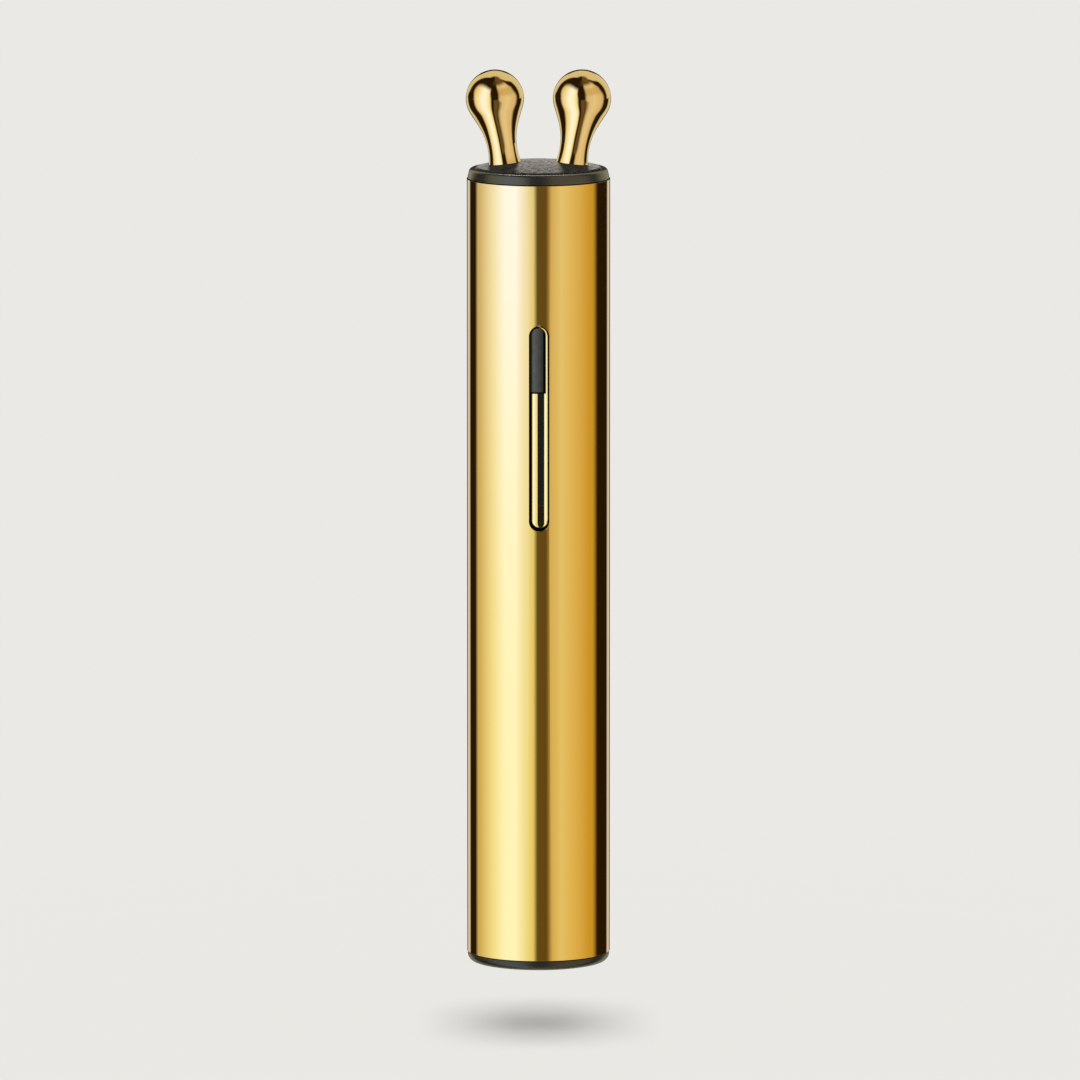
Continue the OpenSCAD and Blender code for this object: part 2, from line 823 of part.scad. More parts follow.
module battery_tabs() {
  color(nickel) {
    block([-3.2, cell_y - 5, cell_z - 0.2], [2, cell_y + 3, cell_z - eps]);
    block([-2, cell_y - 8, cell_z + cell_len + 0.3 + eps], [4, cell_y + 2, cell_z + cell_len + 0.5]);
  }
}

module battery_pad() {
  color(rubber) translate([0, cell_y, cell_z + cell_len + 0.6]) tube(6.5, 2.2, pad_h - 0.1);
}

// Wires, each drawn towards control points chosen along its way

module battery_leads() {
  color("#1c1c1c") wire([
    [-2.5, -2.8, cell_z - 0.3], [-2.5, -2.8, base_z], [-3, -1.5, base_z], [-3, charge_y, base_z]
  ], 0.45);
  color("#b3231c") wire([
    [3.4, -6, cell_z + cell_len + 0.2], [3.4, -6.2, cell_z + 30], [3.4, -6.2, cell_z + 4],
    [3.4, -6.2, base_z + 1], [3.4, charge_y, base_z + 1]
  ], 0.45);
}

module supply_leads() {
  for (side = [-1, 1]) color(side < 0 ? "#1c1c1c" : "#b3231c")
    wire([
      [side * 1.2, charge_y, base_z + 2.6], [side * 1.2, -6.4, base_z + 2.6],
      [side * 1.2, -8.6, base_z + 2.6], [side * 1.2, -8.6, base_z + 8],
      [side * 1.2, -8.6, partition_z + 3], [side * 2.4, -8.4, partition_z + 6],
      [side * 2.4, board_front - 0.05, partition_z + 6]
    ], 0.45);
}

module electrode_leads() {
  for (side = [-1, 1]) color(side < 0 ? "#e8e6df" : "#b3231c")
    wire([
      [side * 5.4, -4.2, rim_z + ball_rise - seat_drop - 1.6], [side * 5.2, -4.2, head_z + 7],
      [side * 3, -3, head_z + 4], [side * 1.5, -1, head_z - 1],
      [side * 1.4, board_back + 1.7, board_z + board_len - 6]
    ], 0.4);
}

barrel();
top_ring();
electrode_carrier();
electrode_left();
electrode_right();
electrode_seals();
electrode_washers();
lead_terminals();
electrode_nuts();
carrier_screws();
bottom_cap();
cap_seal();
cap_screws();
chassis();
slide_channel();
channel_gasket();
thumb_slider();
slider_lever();
fader_carriage();
fader_contacts();
fader_housing();
fader_track();
fader_terminals();
main_board();
board_screws();
controller_chip();
driver_chips();
inductor_core();
inductor_coil();
reservoir_capacitors();
lead_socket();
charge_board();
charge_port();
port_tongue();
charge_chip();
battery();
battery_tabs();
battery_pad();
battery_leads();
supply_leads();
electrode_leads();
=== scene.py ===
"""A gold facial wand, floating upright over its own soft shadow: finishes, studio and camera."""

import json
import math

import bmesh
import bpy
from mathutils import Matrix, Vector


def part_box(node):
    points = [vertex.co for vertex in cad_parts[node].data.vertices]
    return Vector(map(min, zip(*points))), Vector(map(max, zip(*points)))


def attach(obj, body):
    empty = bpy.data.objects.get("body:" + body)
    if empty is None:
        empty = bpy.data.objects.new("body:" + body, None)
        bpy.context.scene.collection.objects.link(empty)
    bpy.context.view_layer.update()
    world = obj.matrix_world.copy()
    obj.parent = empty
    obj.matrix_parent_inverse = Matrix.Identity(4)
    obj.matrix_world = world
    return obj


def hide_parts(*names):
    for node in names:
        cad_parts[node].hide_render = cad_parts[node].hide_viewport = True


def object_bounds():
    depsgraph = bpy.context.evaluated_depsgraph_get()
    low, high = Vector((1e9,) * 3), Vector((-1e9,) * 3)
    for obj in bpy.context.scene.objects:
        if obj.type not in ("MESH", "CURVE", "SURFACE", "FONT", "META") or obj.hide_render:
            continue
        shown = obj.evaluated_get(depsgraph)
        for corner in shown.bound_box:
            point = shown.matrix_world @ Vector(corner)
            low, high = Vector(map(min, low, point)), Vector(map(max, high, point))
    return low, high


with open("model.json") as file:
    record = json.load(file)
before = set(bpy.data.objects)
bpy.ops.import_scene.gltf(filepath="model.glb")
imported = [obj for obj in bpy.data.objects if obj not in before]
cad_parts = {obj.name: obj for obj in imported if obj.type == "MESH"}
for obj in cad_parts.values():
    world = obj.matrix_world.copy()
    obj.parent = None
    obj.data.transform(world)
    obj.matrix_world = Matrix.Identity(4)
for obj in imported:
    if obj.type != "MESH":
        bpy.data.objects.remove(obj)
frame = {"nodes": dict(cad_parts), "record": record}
cad_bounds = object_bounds()

# Sizes in metres and angles in degrees. Azimuth runs from the slider's side, to the right as the
# camera sees it.
wand_low = cad_bounds[0]
barrel_low, barrel_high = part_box("barrel")
# Heights of the centres of the round ends of the slot, and of the slit in the channel behind it
slot_ends = (0.08255, 0.11625)
slit_ends = (0.0819, 0.1166)

# Camera: a long lens, looking slightly down at the slider's side from a touch to its left, and the
# width of its picture at the wand
camera_azimuth = -0.6
camera_elevation = 8.0
camera_distance = 2.5
picture_width = 0.1964
sensor_width = 36.0
aim = Vector((0.00028, 0.0, 0.07735))

# Backdrop and floor, and how far the wand floats above it
pale = (0.823, 0.816, 0.784)
floor_drop = 0.0117
floor_half = 0.3
# Distances from the middle between which the floor melts into the backdrop
floor_fade = (0.09, 0.285)
# Light on matt surfaces from all round, the share of the floor's tone that it takes from light,
# and how much of that tone the lamp over it gives
even_light = 0.8
matt_share = 0.1
shadow_depth = 0.56


def towards(azimuth, elevation):
    """The direction of something seen from the wand."""
    a, e = math.radians(azimuth), math.radians(elevation)
    return Vector((math.sin(a) * math.cos(e), -math.cos(a) * math.cos(e), math.sin(e)))


class Port:
    """A socket of a node tree. An expression on ports and numbers adds its Math nodes."""

    def __init__(self, nodes, socket):
        self.nodes = nodes
        self.socket = socket

    def __add__(self, other):
        return self.nodes.math("ADD", self, other)

    def __sub__(self, other):
        return self.nodes.math("SUBTRACT", self, other)

    def __mul__(self, other):
        return self.nodes.math("MULTIPLY", self, other)

    def __truediv__(self, other):
        return self.nodes.math("DIVIDE", self, other)

    def __pow__(self, other):
        return self.nodes.math("POWER", self, other)

    def __radd__(self, other):
        return self.nodes.math("ADD", other, self)

    def __rsub__(self, other):
        return self.nodes.math("SUBTRACT", other, self)

    def __rmul__(self, other):
        return self.nodes.math("MULTIPLY", other, self)

    def __rtruediv__(self, other):
        return self.nodes.math("DIVIDE", other, self)

    def __neg__(self):
        return self.nodes.math("MULTIPLY", self, -1.0)

    def __abs__(self):
        return self.nodes.math("ABSOLUTE", self)


class Nodes:
    """A node tree, and the one way to put a node into it."""

    def __init__(self, tree):
        self.tree = tree
        tree.nodes.clear()

    def find(self, sockets, key):
        """A socket by its place, or by its identifier or name."""
        if isinstance(key, int):
            return sockets[key]
        exact = [s for s in sockets if s.identifier == key]
        return exact[0] if exact else sockets[key]

    def add(self, kind, settings=None, inputs=None, output=0):
        """A node of this kind: its settings first, then its sockets' values or links."""
        node = self.tree.nodes.new(kind)
        for name, value in (settings or {}).items():
            setattr(node, name, value)
        for key, value in (inputs or {}).items():
            socket = self.find(node.inputs, key)
            if isinstance(value, Port):
                self.tree.links.new(value.socket, socket)
            elif hasattr(value, "__len__") and len(value) == 3 and socket.type == "RGBA":
                socket.default_value = (*value, 1.0)
            else:
                socket.default_value = value
        return Port(self, self.find(node.outputs, output)) if len(node.outputs) else node

    def math(self, operation, *values):
        """A Math node on ports and numbers."""
        sockets = ("Value", "Value_001", "Value_002")
        return self.add("ShaderNodeMath", {"operation": operation}, dict(zip(sockets, values)))

    def rise(self, value, start, end):
        """0 up to start, 1 from end on, and smooth in between."""
        return self.add(
            "ShaderNodeMapRange",
            {"interpolation_type": "SMOOTHSTEP"},
            {"Value": value, "From Min": start, "From Max": end},
        )

    def ramp(self, value, start, end):
        """0 up to start, 1 from end on, and straight in between."""
        return self.add(
            "ShaderNodeMapRange", {}, {"Value": value, "From Min": start, "From Max": end}
        )

    def band(self, value, start, end, soft_start, soft_end):
        """1 between start and end, with an edge of its own width at each."""
        return self.rise(value, start - soft_start / 2, start + soft_start / 2) * (
            1 - self.rise(value, end - soft_end / 2, end + soft_end / 2)
        )

    def blend(self, value, stops):
        """A colour that runs straight from stop to stop along a value."""
        colour = stops[0][1]
        for (start, _), (end, following) in zip(stops, stops[1:]):
            colour = self.mix(self.ramp(value, start, end), colour, following)
        return colour

    def mix(self, share, first, second):
        """A colour between two, by a share from 0 to 1."""
        return self.add(
            "ShaderNodeMix",
            {"data_type": "RGBA"},
            {"Factor_Float": share, "A_Color": first, "B_Color": second},
            "Result_Color",
        )

    def tint(self, colour, level):
        """A colour or light at this level."""
        return self.add(
            "ShaderNodeVectorMath", {"operation": "SCALE"}, {"Vector": colour, "Scale": level}
        )

    def total(self, *colours):
        """The sum of several lights."""
        light = colours[0]
        for other in colours[1:]:
            light = self.add(
                "ShaderNodeVectorMath", {"operation": "ADD"}, {"Vector": light, "Vector_001": other}
            )
        return light


class Finish(Nodes):
    """A material, with the few kinds of surface detail that the wand's finishes share."""

    def __init__(self, name):
        self.material = bpy.data.materials.new(name)
        self.material.use_nodes = True
        super().__init__(self.material.node_tree)
        self.place = self.add("ShaderNodeTexCoord", output="Object")
        self.across, self.depth, self.height = (
            self.add("ShaderNodeSeparateXYZ", {}, {"Vector": self.place}, axis) for axis in range(3)
        )

    def noise(self, size, detail=2.0, roughness=0.5, stretch=(1.0, 1.0, 1.0)):
        """Soft variation whose patches are about size metres across."""
        place = self.add(
            "ShaderNodeVectorMath",
            {"operation": "MULTIPLY"},
            {"Vector": self.place, "Vector_001": stretch},
        )
        return self.add(
            "ShaderNodeTexNoise",
            {},
            {"Vector": place, "Scale": 1 / size, "Detail": detail, "Roughness": roughness},
        )

    def bump(self, height, depth):
        """A relief this many metres deep."""
        return self.add("ShaderNodeBump", {}, {"Height": height, "Distance": depth}, "Normal")

    def surface(self, **sockets):
        """Ends the material in one Principled surface."""
        named = {
            name.replace("_", " ").title().replace("Ior", "IOR"): value
            for name, value in sockets.items()
        }
        shader = self.add("ShaderNodeBsdfPrincipled", {}, named)
        self.add("ShaderNodeOutputMaterial", {}, {"Surface": shader})
        return self.material


# Finishes

# Black plastic's sheen is a little warmer than the cool softbox that it mirrors
warm_sheen = (1.0, 0.91, 0.8)
# Gold at the wand's foot and at the barrel's top, paler upwards, and the near-black of the painted
# shade on it
barrel_gold = ((0.88, 0.622, 0.225), (0.88, 0.635, 0.285))
ball_gold = ((0.88, 0.635, 0.3), (0.88, 0.64, 0.36))
painted_shade_colour = (0.002, 0.0013, 0.0007)


def off_line(finish, ends, aside):
    """Distance from an upright line between two heights, this far right of the middle."""
    low, high = ends
    past = finish.math("MAXIMUM", low - finish.height, finish.height - high)
    past = finish.math("MAXIMUM", past, 0)
    return ((finish.across - aside) ** 2 + past**2) ** 0.5


def gold_plate(name, deeper, paler, dark=None, trued=0.0):
    """Mirror-polished plating, paler towards the head, with painted shade in near-black where the
    dark mask is 1.

    It keeps a trace of the buffing wheel's waves, or is trued by an angle instead.
    """
    finish = Finish(name)
    cloud = finish.noise(0.02)
    rising = finish.ramp(finish.height, 0.0, barrel_high.z) ** 2
    colour = finish.mix(rising + 0.05 * cloud, deeper, paler)
    roughness = 0.018 + 0.006 * finish.noise(0.004)
    metal = 1.0
    if dark:
        # The dark mask paints shade: near-black, rough and not metal there
        black = dark(finish)
        metal = 1 - black
        colour = finish.mix(black, colour, painted_shade_colour)
        roughness = roughness + 0.9 * black
    if trued:
        normal = trued_normal(finish, trued)
    else:
        normal = finish.bump(finish.noise(0.012, detail=0.0, stretch=(1.0, 1.0, 0.4)), 0.0000004)
    return finish.surface(
        base_color=colour,
        metallic=metal,
        roughness=roughness,
        specular_ior_level=0.0,
        normal=normal,
    )


def trued_normal(finish, angle):
    """The normal of a ball that was trued up at its widest, which left a faint ridge round it.

    Where the surface turns from looking up to hanging over, its lean skips by this angle, more
    towards the flanks, and comes back further down.
    """
    least_facing = 0.2
    ridge = 0.43 * angle
    half_soft = 0.0003
    way_back = 0.3
    normal = finish.add("ShaderNodeNewGeometry", output="Normal")
    facing, slope = (
        finish.add("ShaderNodeSeparateXYZ", {}, {"Vector": normal}, axis) for axis in (1, 2)
    )
    facing = finish.math("MAXIMUM", abs(facing), least_facing)
    past = slope * facing - ridge
    under = (1 - finish.rise(past, -half_soft, half_soft)) * finish.math("EXPONENT", past / way_back)
    skip = finish.add("ShaderNodeCombineXYZ", {}, {"Z": -angle * under / facing})
    leaning = finish.total(normal, skip)
    return finish.add("ShaderNodeVectorMath", {"operation": "NORMALIZE"}, {"Vector": leaning})


def painted_edge_shade(finish):
    """Painted shade along the barrel's edge round the slot, and at its two ends, where they meet the
    caps.
    """
    middle = (barrel_low.z + barrel_high.z) / 2
    half_length = (barrel_high.z - barrel_low.z) / 2
    past_end = abs(finish.height - middle) - half_length
    end = finish.rise(past_end, -0.00022, -0.00016)
    in_front = 1 - finish.rise(finish.depth, -0.0105, -0.0095)
    off_slot = off_line(finish, slot_ends, aside=-0.00001)
    edge = in_front * (1 - finish.rise(off_slot, 0.00182, 0.00188))
    return finish.math("MAXIMUM", edge, end)


def painted_channel_shade(finish):
    """Painted shade on the walls of the channel, above its polished floor, and along the edges of
    its slit.
    """
    off_slot = off_line(finish, slot_ends, aside=0.00013)
    off_slit = off_line(finish, slit_ends, aside=0.00033)
    wall = finish.rise(off_slot, 0.00139, 0.00146)
    slit_edge = 1 - finish.rise(off_slit, 0.00056, 0.00064)
    return finish.math("MAXIMUM", wall, slit_edge)


def black_moulding(name, sheen):
    """Black plastic from a spark-eroded mould, with a sheen of this strength."""
    finish = Finish(name)
    grain = finish.noise(0.00025, detail=3.0, roughness=0.6)
    cloud = finish.noise(0.003)
    return finish.surface(
        base_color=finish.mix(grain, (0.016, 0.0155, 0.0145), (0.026, 0.025, 0.0235)),
        roughness=0.2 + 0.08 * grain + 0.05 * cloud,
        specular_ior_level=sheen,
        specular_tint=warm_sheen,
        normal=finish.bump(grain, 0.00001),
    )


def black_dome():
    """Coarse-grained black, which scatters light and mirrors nothing."""
    finish = Finish("black_dome")
    grain = finish.noise(0.0007, detail=4.0, roughness=0.8)
    speckle = finish.rise(grain, 0.38, 0.62)
    return finish.surface(
        base_color=finish.mix(speckle, (0.022, 0.019, 0.016), (0.064, 0.061, 0.056)),
        roughness=0.8,
        specular_ior_level=0.0,
        normal=finish.bump(grain, 0.00003),
    )


def slider_grey():
    """Soft-touch grey, slightly mottled, with painted shade: a black right flank and a black line
    along its lower edge.
    """
    finish = Finish("slider_grey")
    mottle = finish.noise(0.0011, detail=3.0)
    grain = finish.noise(0.00012, detail=2.0)
    # Painted shade: the right flank and the lower edge turn near-black
    shaded_flank = finish.rise(finish.across, 0.00055, 0.00085)
    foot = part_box("thumb_slider")[0].z
    edge = 1 - finish.rise(finish.height, foot + 0.00022, foot + 0.0004)
    colour = finish.mix(mottle, (0.027, 0.027, 0.0253), (0.045, 0.045, 0.042))
    return finish.surface(
        base_color=finish.mix(finish.math("MAXIMUM", shaded_flank, edge), colour, (0.003, 0.003, 0.002)),
        roughness=0.6 + 0.15 * mottle,
        specular_ior_level=0.0,
        normal=finish.bump(grain + mottle, 0.000012),
    )


def fader_track():
    """Brown laminate with a black carbon track down it."""
    finish = Finish("track")
    mottle = finish.noise(0.0003)
    track_middle = 0.00036
    carbon = 1 - finish.rise(abs(finish.across - track_middle), 0.0016, 0.0017)
    laminate = finish.mix(mottle, (0.164, 0.082, 0.033), (0.2, 0.1, 0.04))
    return finish.surface(
        base_color=finish.mix(carbon, laminate, (0.01, 0.009, 0.008)),
        roughness=0.4 + 0.1 * mottle,
        normal=finish.bump(mottle + carbon, 0.000008),
    )


def plain_metal(name, colour, roughness, mark_size=0.0004):
    """Plated steel and contact metal, with fine drawing marks."""
    finish = Finish(name)
    marks = finish.noise(mark_size, stretch=(1.0, 1.0, 0.15))
    worn = tuple(0.86 * c for c in colour)
    return finish.surface(
        base_color=finish.mix(marks, worn, colour),
        metallic=1.0,
        roughness=roughness + 0.12 * marks,
        normal=finish.bump(marks, 0.000004),
    )


def plain_plastic(name, colour, roughness):
    """Moulded, laminated or sleeved parts inside the barrel."""
    finish = Finish(name)
    mottle = finish.noise(0.0003)
    dark = tuple(0.82 * c for c in colour)
    return finish.surface(
        base_color=finish.mix(mottle, dark, colour),
        roughness=roughness + 0.1 * mottle,
        normal=finish.bump(mottle, 0.000008),
    )


FINISHES = {
    "gold_plate": gold_plate("gold_plate", *barrel_gold, dark=painted_edge_shade),
    "channel_gold": gold_plate("channel_gold", *barrel_gold, dark=painted_channel_shade),
    "electrode_gold": gold_plate("electrode_gold", *ball_gold, trued=0.06),
    "black_cap": black_moulding("black_cap", 0.55),
    "black_ring": black_moulding("black_ring", 0.9),
    "black_dome": black_dome(),
    "slider_grey": slider_grey(),
    "steel": plain_metal("steel", (0.56, 0.57, 0.58), 0.28),
    "dark_steel": plain_metal("dark_steel", (0.05, 0.037, 0.022), 0.45),
    "nickel": plain_metal("nickel", (0.7, 0.68, 0.62), 0.22),
    "copper": plain_metal("copper", (0.72, 0.36, 0.18), 0.3, mark_size=0.0002),
    "rubber": plain_plastic("rubber", (0.03, 0.03, 0.03), 0.6),
    "moulding": plain_plastic("moulding", (0.78, 0.76, 0.71), 0.42),
    "board": plain_plastic("board", (0.03, 0.16, 0.08), 0.25),
    "chip": plain_plastic("chip", (0.03, 0.03, 0.035), 0.5),
    "track": fader_track(),
    "cell_wrap": plain_plastic("cell_wrap", (0.1, 0.26, 0.55), 0.22),
    "wire_sleeve": plain_plastic("wire_sleeve", (0.4, 0.04, 0.03), 0.45),
}


def dress(node, finish):
    """Gives a CAD node a finish. Polished pieces mirror the studio alone, never each other."""
    piece = frame["nodes"][node]
    piece.data.materials.clear()
    piece.data.materials.append(FINISHES[finish])
    piece.visible_glossy = False
    return piece


for part in frame["record"]["subparts"]:
    dressed = dress(part["node"], part["material_slot"])
dress("electrode_carrier", "black_dome")
dress("top_ring", "black_ring")
dress("slide_channel", "channel_gold")


# Electrodes

# Control points of an electrode's outline below its ball, as drop and radius from the ball's centre
neck_course = (
    (0.00138, 0.00513), (0.00262, 0.00455), (0.00388, 0.00396), (0.00515, 0.0034),
    (0.0065, 0.00296), (0.0079, 0.0027), (0.0093, 0.00262), (0.0107, 0.0027),
    (0.0121, 0.00296), (0.0135, 0.0034),
)
# Angle between the control points round the ball
ball_step = 15
# Drop from the ball's centre to the shoulder on the dome, where the stud begins
shoulder_drop = 0.0122
stud_radius = 0.0015
lean = math.radians(8.6)
# Steps round an electrode, and between two control points of its outline
round_steps = 128
outline_steps = 8
# The distance below which points become one, and the turn above which an edge stays sharp
closest = 0.0000005
crease = math.radians(40)


def turned_outline(radius, end):
    """An electrode's outline from the top of its ball to its end, as radius and height."""
    # A cubic spline runs this much inside control points that lie on a circle
    pulled = radius * 3 / (2 + math.cos(math.radians(ball_step)))
    angles = [math.radians(a) for a in range(-ball_step, 91, ball_step)]
    course = [Vector((pulled * math.sin(a), pulled * math.cos(a))) for a in angles]
    course += [Vector((reach, -drop)) for drop, reach in neck_course]
    outline = []
    for a, b, c, d in zip(course, course[1:], course[2:], course[3:]):
        for k in range(outline_steps):
            t = k / outline_steps
            outline.append((
                (1 - t) ** 3 * a + (3 * t**3 - 6 * t**2 + 4) * b
                + (-3 * t**3 + 3 * t**2 + 3 * t + 1) * c + t**3 * d
            ) / 6)
    outline = [point for point in outline if point.y > -shoulder_drop]
    shoulder = [Vector((r, -shoulder_drop)) for r in (outline[-1].x, stud_radius)]
    return outline + shoulder + [Vector((r, -end)) for r in (stud_radius, 0)]


def turned_mesh(name, outline, place):
    """A smooth mesh, turned from an outline and put in its place."""
    points = []
    for reach, height in outline:
        for k in range(round_steps):
            a = 2 * math.pi * k / round_steps
            points.append(place @ Vector((reach * math.cos(a), reach * math.sin(a), height)))
    faces = []
    for ring in range(len(outline) - 1):
        first = ring * round_steps
        for k in range(round_steps):
            following = (k + 1) % round_steps
            faces.append((
                first + k, first + round_steps + k,
                first + round_steps + following, first + following,
            ))
    mesh = bpy.data.meshes.new(name)
    mesh.from_pydata(points, [], faces)
    shell = bmesh.new()
    shell.from_mesh(mesh)
    bmesh.ops.remove_doubles(shell, verts=shell.verts, dist=closest)
    bmesh.ops.recalc_face_normals(shell, faces=shell.faces)
    for face in shell.faces:
        face.smooth = True
    for edge in shell.edges:
        edge.smooth = len(edge.link_faces) < 2 or edge.calc_face_angle() < crease
    shell.to_mesh(mesh)
    shell.free()
    return mesh


def turned_electrode(node, side):
    """An electrode as one smooth turned piece, in the place of the solid with the same sizes."""
    low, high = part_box(node)
    radius = (high.y - low.y) / 2
    reach = max(abs(low.x), abs(high.x)) - radius
    centre = Vector((side * reach, 0, high.z - radius))
    end = (centre.z - low.z) / math.cos(lean) - stud_radius * math.tan(lean)
    place = Matrix.Translation(centre) @ Matrix.Rotation(side * lean, 4, "Y")
    mesh = turned_mesh(node + "_turned", turned_outline(radius, end), place)
    piece = bpy.data.objects.new(node + "_turned", mesh)
    bpy.context.scene.collection.objects.link(piece)
    piece.visible_glossy = False
    mesh.materials.append(FINISHES["electrode_gold"])
    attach(piece, "housing")
    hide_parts(node)


turned_electrode("electrode_left", -1)
turned_electrode("electrode_right", 1)


# Studio

# Elevations of the narrow belt of the studio that the upright barrel mirrors, and its soft edges
belt = (-10.1, -6.33, 0.4, 0.16)
# The softboxes' gels by azimuth: in that belt, and over and under it, where the balls mirror them
cool_in_belt = (
    (-110, (0.7, 0.63, 0.36)),
    (-80, (1.0, 1.12, 1.0)),
    (-57, (1.13, 1.43, 1.97)),
    (-38, (1.13, 1.43, 2.05)),
    (-12, (0.9, 0.94, 0.56)),
)
cool_outside = (
    (-96, (0.8, 0.72, 0.38)),
    (-74, (1.02, 1.08, 0.82)),
    (-50, (1.14, 1.42, 1.8)),
    (-31, (1.1, 1.3, 1.2)),
    (-17, (0.9, 0.92, 0.5)),
)
warm_in_belt = (
    (14, (0.66, 0.5, 0.2)),
    (36, (0.86, 0.83, 0.53)),
    (64, (0.79, 0.64, 0.26)),
    (92, (0.65, 0.44, 0.07)),
)
warm_outside = (
    (22, (0.76, 0.7, 0.44)),
    (52, (0.87, 0.83, 0.58)),
    (90, (0.74, 0.64, 0.36)),
)
# The cool gel is clearer by this much towards the belt's top
clearer = (1, 1.03, 1.33)
# A stripe of a darker gel crosses the warm softbox, above the belt
warm_stripe = (0.62, 0.5, 0.2)
# The pale backdrop behind the wand, outside the belt and in it
backdrop_light = ((0.76, 0.75, 0.47), (0.69, 0.71, 0.72))
# Glow in the gap between the softboxes, from the ceiling, and from the rest of the dark studio
gap_light = (0.12, 0.09, 0.025)
ceiling_light = (0.13, 0.09, 0.03)
dark_studio = (0.022, 0.012, 0.004)


def left_softbox(nodes, azimuth, elevation, in_belt):
    """The cool softbox's light from a direction, by its outer, inner and top edge."""
    outer = -92 - 9 * nodes.rise(elevation, 0, 25) - 27 * in_belt
    half_soft = 7 - 1.5 * in_belt
    inner = -17 - 4 * nodes.rise(elevation, 0, 30) + 11 * in_belt
    top = 47 - 6 * nodes.rise(azimuth, -60, -20) - 8 * nodes.rise(-azimuth, 75, 105)
    share = nodes.rise((azimuth - outer) / half_soft, -1, 1)
    share = share * (1 - nodes.rise(azimuth - inner, -4.5, 4.5))
    share = share * (1 - nodes.rise(elevation - top, -10, 10))
    gel = nodes.add(
        "ShaderNodeVectorMath",
        {"operation": "MULTIPLY"},
        {
            "Vector": nodes.blend(azimuth, cool_in_belt),
            "Vector_001": nodes.mix(nodes.rise(elevation, -8.9, -6.4), (1, 1, 1), clearer),
        },
    )
    return nodes.tint(nodes.mix(in_belt, nodes.blend(azimuth, cool_outside), gel), share)


def right_softbox(nodes, azimuth, elevation, in_belt):
    """The warm softbox's light from a direction, with a darker stripe across it."""
    below = 1 - nodes.rise(elevation, -20, -6)
    inner = 15.5 - 6 * nodes.rise(elevation, 20, 60) + 7 * below
    half_soft = 6.5 + 6 * below
    outer = 95 - 8 * nodes.rise(elevation, 5, 30) - 8 * nodes.rise(elevation, 35, 50) + 8.5 * in_belt
    share = nodes.rise((azimuth - inner) / half_soft, -1, 1)
    share = share * (1 - nodes.rise(azimuth - outer, -8, 8))
    share = share * (1 - nodes.rise(elevation, 50, 69))
    stripe = 0.7 * nodes.band(elevation, 16, 44, 16, 16)
    gel = nodes.mix(stripe, nodes.blend(azimuth, warm_outside), warm_stripe)
    return nodes.tint(nodes.mix(in_belt, gel, nodes.blend(azimuth, warm_in_belt)), share)


def studio_world():
    """Two tall softboxes, black flags beside them and a pale backdrop, by direction.

    Polished metal mirrors the studio. Matt surfaces get plain even light, and the camera sees the
    backdrop.
    """
    world = bpy.data.worlds.new("studio")
    bpy.context.scene.world = world
    world.use_nodes = True
    nodes = Nodes(world.node_tree)
    direction = nodes.add("ShaderNodeTexCoord", output="Generated")
    along = [nodes.add("ShaderNodeSeparateXYZ", {}, {"Vector": direction}, k) for k in range(3)]
    azimuth = nodes.math("ARCTAN2", along[0], -along[1]) * math.degrees(1)
    elevation = nodes.math("ARCSINE", along[2]) * math.degrees(1)
    aside = abs(azimuth)
    in_belt = nodes.band(elevation, *belt)

    # The backdrop begins at the outer edge of the black flag on each side
    on_right = nodes.rise(azimuth, -10, 10)
    left_flag = 138 - 7 * nodes.rise(elevation, 0, 12)
    right_flag = 133 - 16 * nodes.rise(elevation, -12, -4) - 14 * nodes.rise(elevation, 40, 60)
    flag_edge = left_flag + on_right * (right_flag - left_flag)
    flag_edge = flag_edge + in_belt * (146 - flag_edge)
    half_soft = 6.5 - 3 * in_belt
    backdrop = nodes.rise((aside - flag_edge) / half_soft, -1, 1)
    backdrop = backdrop * (1 - nodes.rise(elevation, 68, 80))
    # Black cloth behind the wand, which gives it a dark outline
    behind = nodes.rise(aside, 160, 166) * nodes.band(elevation, -30, 28, 6, 8)
    gap = nodes.band(azimuth, -5, 12, 6, 8) * (1 - nodes.rise(elevation, -6, 4))
    ceiling = nodes.rise(elevation, 50, 70) * nodes.rise(azimuth, -40, 40) * (1 - backdrop)
    studio = nodes.total(
        left_softbox(nodes, azimuth, elevation, in_belt),
        right_softbox(nodes, azimuth, elevation, in_belt),
        nodes.tint(nodes.mix(in_belt, *backdrop_light), backdrop * (1 - behind)),
        nodes.tint(gap_light, gap),
        nodes.tint(ceiling_light, ceiling),
        dark_studio,
    )
    ray = {
        kind: nodes.add("ShaderNodeLightPath", output=kind)
        for kind in ("Is Camera Ray", "Is Glossy Ray")
    }
    matt_light = (even_light, even_light, 0.98 * even_light)
    seen = nodes.mix(ray["Is Glossy Ray"], matt_light, studio)
    seen = nodes.mix(ray["Is Camera Ray"], seen, pale)
    background = nodes.add("ShaderNodeBackground", {}, {"Color": seen})
    nodes.add("ShaderNodeOutputWorld", {}, {"Surface": background})


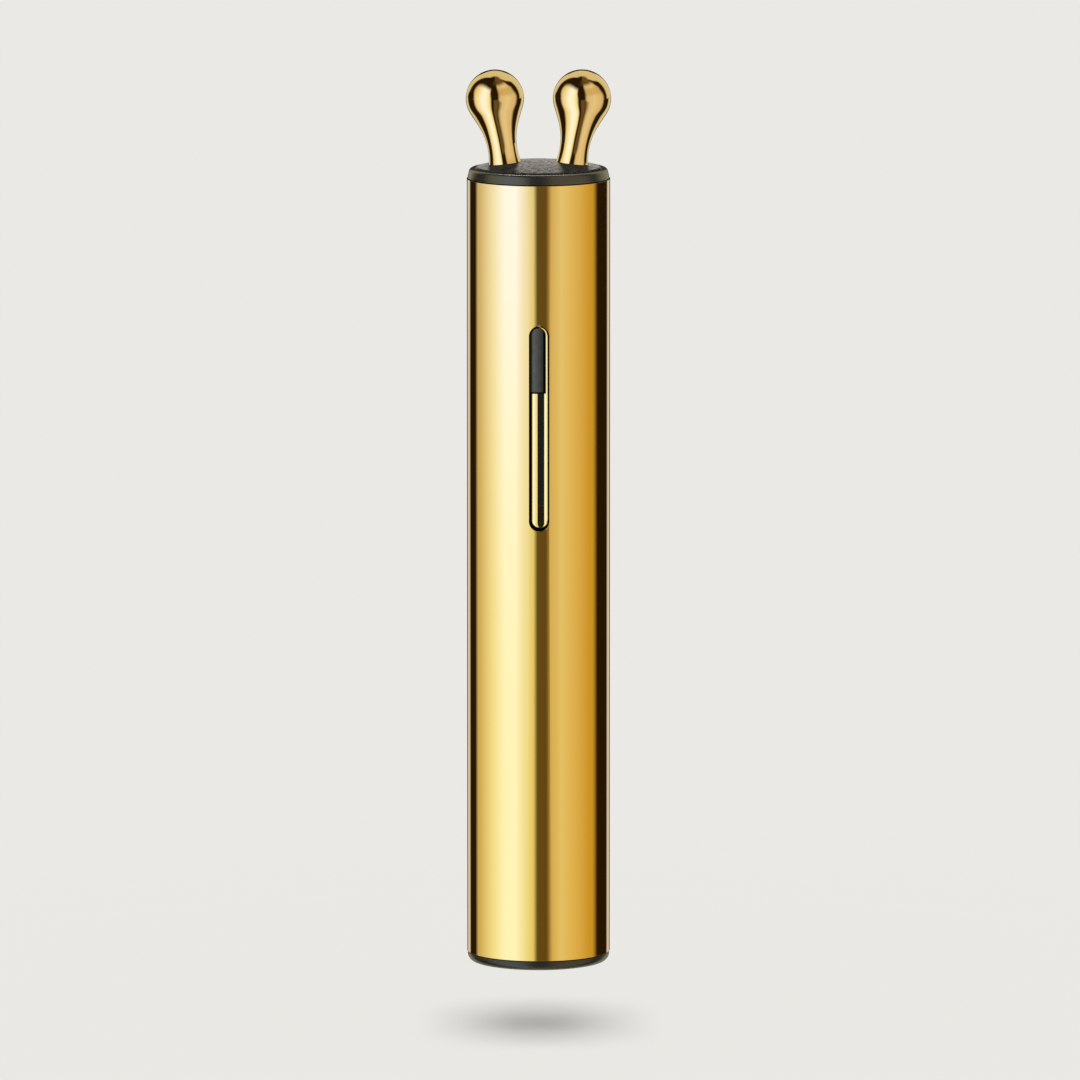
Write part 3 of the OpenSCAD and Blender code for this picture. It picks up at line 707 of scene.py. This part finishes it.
def floor():
    """A pale floor that takes the wand's shadow and melts into the backdrop round it."""
    mesh = bpy.data.meshes.new("floor")
    corners = [(-1, -1), (1, -1), (1, 1), (-1, 1)]
    corners = [(floor_half * x, floor_half * y, 0) for x, y in corners]
    mesh.from_pydata(corners, [], [(0, 1, 2, 3)])
    piece = bpy.data.objects.new("floor", mesh)
    bpy.context.scene.collection.objects.link(piece)
    piece.location.z = wand_low.z - floor_drop
    piece.visible_diffuse = False
    piece.visible_glossy = False
    piece.visible_shadow = False

    nodes = Finish("pale_floor")
    own_glow = 1 - shadow_depth - matt_share * even_light
    glow = nodes.add("ShaderNodeEmission", {}, {"Color": tuple(own_glow * c for c in pale)})
    matt = nodes.add("ShaderNodeBsdfDiffuse", {}, {"Color": tuple(matt_share * c for c in pale)})
    both = nodes.add("ShaderNodeAddShader", {}, {0: glow, 1: matt})
    clear = nodes.add("ShaderNodeBsdfTransparent")
    reach = nodes.add(
        "ShaderNodeVectorMath", {"operation": "LENGTH"}, {"Vector": nodes.place}, "Value"
    )
    fade = nodes.rise(reach, *floor_fade)
    mixed = nodes.add("ShaderNodeMixShader", {}, {"Fac": fade, 1: both, 2: clear})
    nodes.add("ShaderNodeOutputMaterial", {}, {"Surface": mixed})
    mesh.materials.append(nodes.material)
    return piece


def lamp(name, place, target, size, radiance, receivers, blockers=()):
    """A rectangular lamp that lights only its receivers and that the camera doesn't see.

    Where it has blockers, they alone cast shadows from it.
    """
    data = bpy.data.lights.new(name, "AREA")
    data.shape = "RECTANGLE"
    data.size, data.size_y = size
    data.energy = radiance * math.pi * data.size * data.size_y
    piece = bpy.data.objects.new(name, data)
    bpy.context.scene.collection.objects.link(piece)
    piece.location = place
    piece.rotation_euler = (place - target).to_track_quat("Z", "Y").to_euler()
    piece.visible_camera = False
    piece.light_linking.receiver_collection = group(name + "_lit", receivers)
    if blockers:
        piece.light_linking.blocker_collection = group(name + "_blockers", blockers)


def group(name, members):
    """A collection of objects that a lamp is linked to."""
    collection = bpy.data.collections.new(name)
    for member in members:
        collection.objects.link(member)
    return collection


def floor_lamp(receiver):
    """A long lamp high above the floor: the cap at the head casts the soft shadow."""
    height = 3.0
    place = receiver.location + Vector((0, 0, height))
    size = (0.33, 0.57)
    head = [frame["nodes"][name] for name in ("top_ring", "electrode_carrier")]
    # The floor under the lamp returns this share of the lamp's radiance
    returned = size[0] * size[1] / (math.pi * height**2)
    radiance = shadow_depth / matt_share / returned
    lamp("floor_lamp", place, receiver.location, size, radiance, [receiver], head)


def cap_lamps():
    """Lamps for the black plastic: one behind the dome, one beside the slider, two high behind."""
    caps = [frame["nodes"][name] for name in ("top_ring", "bottom_cap")]
    dome, slider = (frame["nodes"][name] for name in ("electrode_carrier", "thumb_slider"))
    head = Vector((0, 0, barrel_high.z))
    middle = Vector((0, 0, barrel_high.z / 2))
    # Name, target, azimuth and elevation, distance, size, radiance and what it lights
    lamps = (
        ("back_lamp", head, (180, 24), 1.2, (0.15, 0.15), 3000.0, [dome]),
        ("slider_lamp", middle, (-72, 5), 1.0, (0.3, 0.6), 60.0, [slider]),
        ("left_shoulder_lamp", head, (-166, 52), 1.0, (0.2, 0.2), 18.0, caps),
        ("right_shoulder_lamp", head, (166, 52), 1.0, (0.2, 0.2), 6.0, caps),
    )
    for name, target, direction, distance, size, radiance, receivers in lamps:
        place = target + towards(*direction) * distance
        lamp(name, place, target, size, radiance, receivers)


def camera():
    """A long lens, turned to the aim point."""
    data = bpy.data.cameras.new("camera")
    data.sensor_width = sensor_width
    data.lens = sensor_width * camera_distance / picture_width
    data.clip_end = 20.0
    piece = bpy.data.objects.new("camera", data)
    back = towards(camera_azimuth, camera_elevation)
    piece.location = aim + back * camera_distance
    piece.rotation_euler = back.to_track_quat("Z", "Y").to_euler()
    bpy.context.scene.collection.objects.link(piece)
    bpy.context.scene.camera = piece


studio_world()
floor_lamp(floor())
cap_lamps()
camera()
bpy.context.scene.view_settings.view_transform = "Standard"
